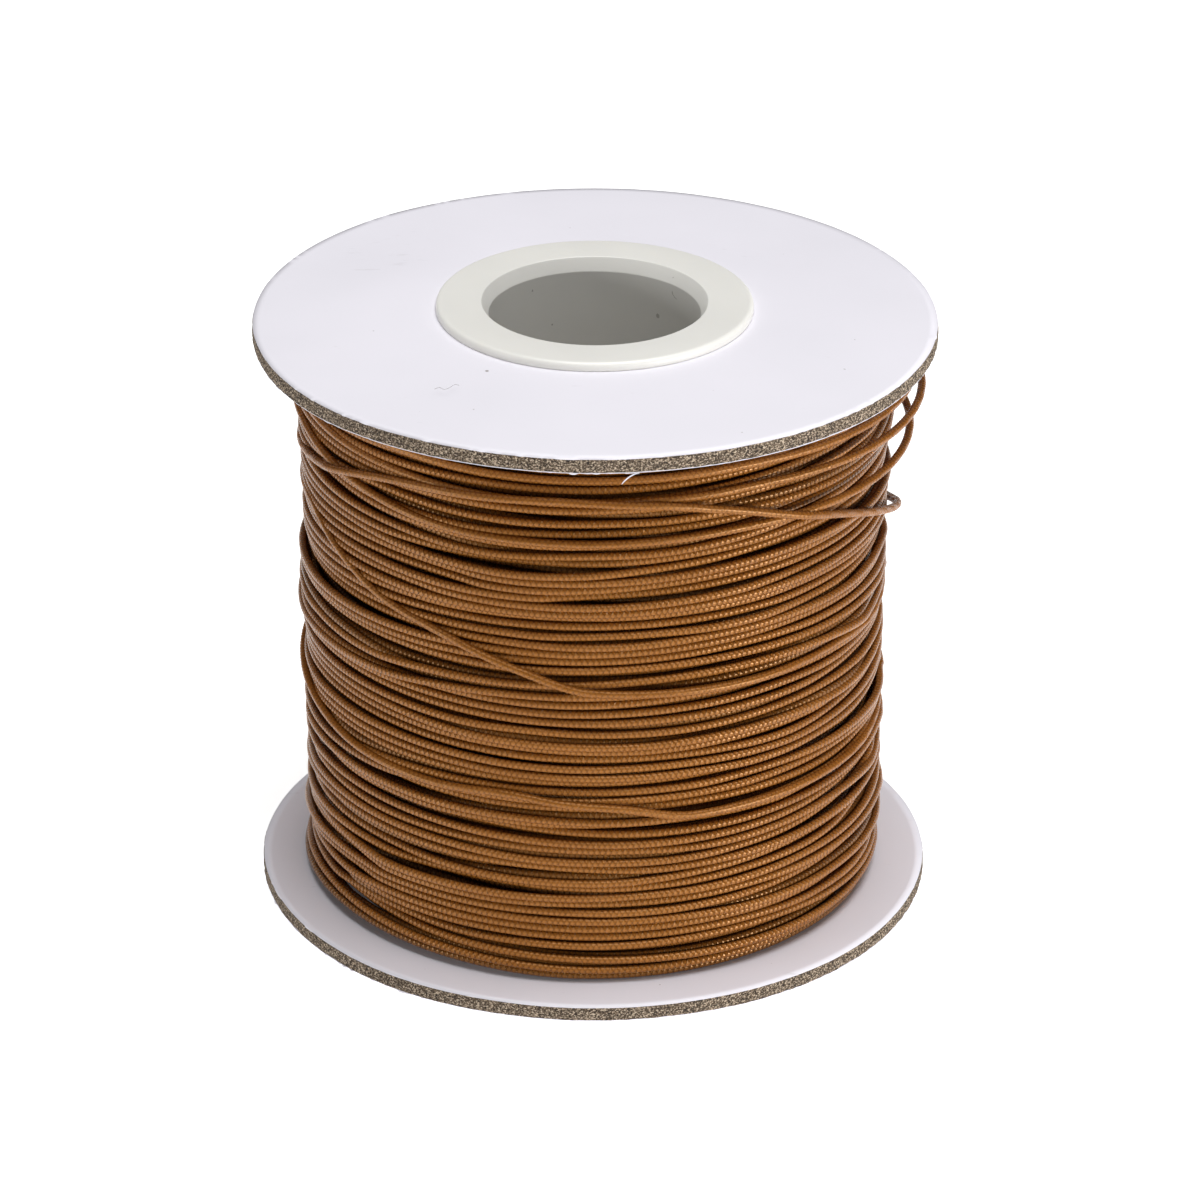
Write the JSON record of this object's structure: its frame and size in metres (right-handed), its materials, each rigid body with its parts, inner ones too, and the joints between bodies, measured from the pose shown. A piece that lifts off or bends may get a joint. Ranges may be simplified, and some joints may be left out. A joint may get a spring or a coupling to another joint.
{
  "type": "waxed thread spool",
  "caption": "Spool of waxed braided cord for hand sewing, with flat paper-faced board flanges, a plastic-bushed through bore and a full, loosely finished winding.",
  "frame": {"origin": "centre of the lower bush's rim face, which the spool stands on", "axes": "+Z along the spool's axis, from the lower flange to the upper; +X through the slack turns of cord"},
  "size_m": [0.076, 0.076, 0.071],
  "materials": {
    "bush_plastic": "satin moulded polypropylene, warm grey-white",
    "core_card": "spirally wound brown card",
    "flange_paper": "smooth uncoated white liner paper",
    "greyboard": "die-cut recycled board with a fibrous edge",
    "waxed_cord": "fine braided polyester, waxed to a low sheen"
  },
  "bodies": {
    "root": {"lower_hub_bush": "bush_plastic", "upper_hub_bush": "bush_plastic", "core_tube": "core_card", "lower_flange_outer_paper": "flange_paper", "lower_flange_board": "greyboard", "lower_flange_inner_paper": "flange_paper", "upper_flange_inner_paper": "flange_paper", "upper_flange_board": "greyboard", "upper_flange_outer_paper": "flange_paper", "cord_pack": "waxed_cord", "cord_top_layer": "waxed_cord", "cord_slack_turn_low": "waxed_cord", "cord_slack_turn_middle": "waxed_cord", "cord_slack_turn_top": "waxed_cord", "cord_stray_turn": "waxed_cord", "cord_crossing_turn": "waxed_cord"}
  },
  "joints": []
}
